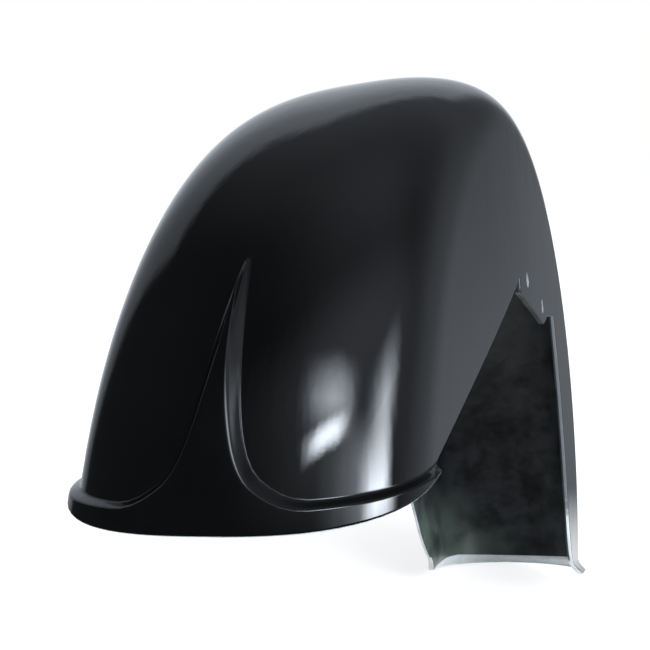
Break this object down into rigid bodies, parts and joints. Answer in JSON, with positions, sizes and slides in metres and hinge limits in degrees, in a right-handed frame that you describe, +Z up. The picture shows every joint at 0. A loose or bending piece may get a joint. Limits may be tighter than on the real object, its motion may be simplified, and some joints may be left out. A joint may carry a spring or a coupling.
{
  "type": "motorcycle front mudguard",
  "caption": "Wraparound front mudguard for a motorcycle: a thin arched shell over the wheel, with fork tabs, a raised pointed band along the nose and a flared rear lip.",
  "frame": {"origin": "midway between the two fork bolt holes, on the centre plane", "axes": "+X to the rider's left along the bolts, -Y forward, +Z up along the fork legs"},
  "size_m": [0.1756, 0.7019, 0.35],
  "materials": {
    "gelcoat_black": "gloss"
  },
  "bodies": {
    "root": {"mudguard_shell": "gelcoat_black"}
  },
  "joints": []
}
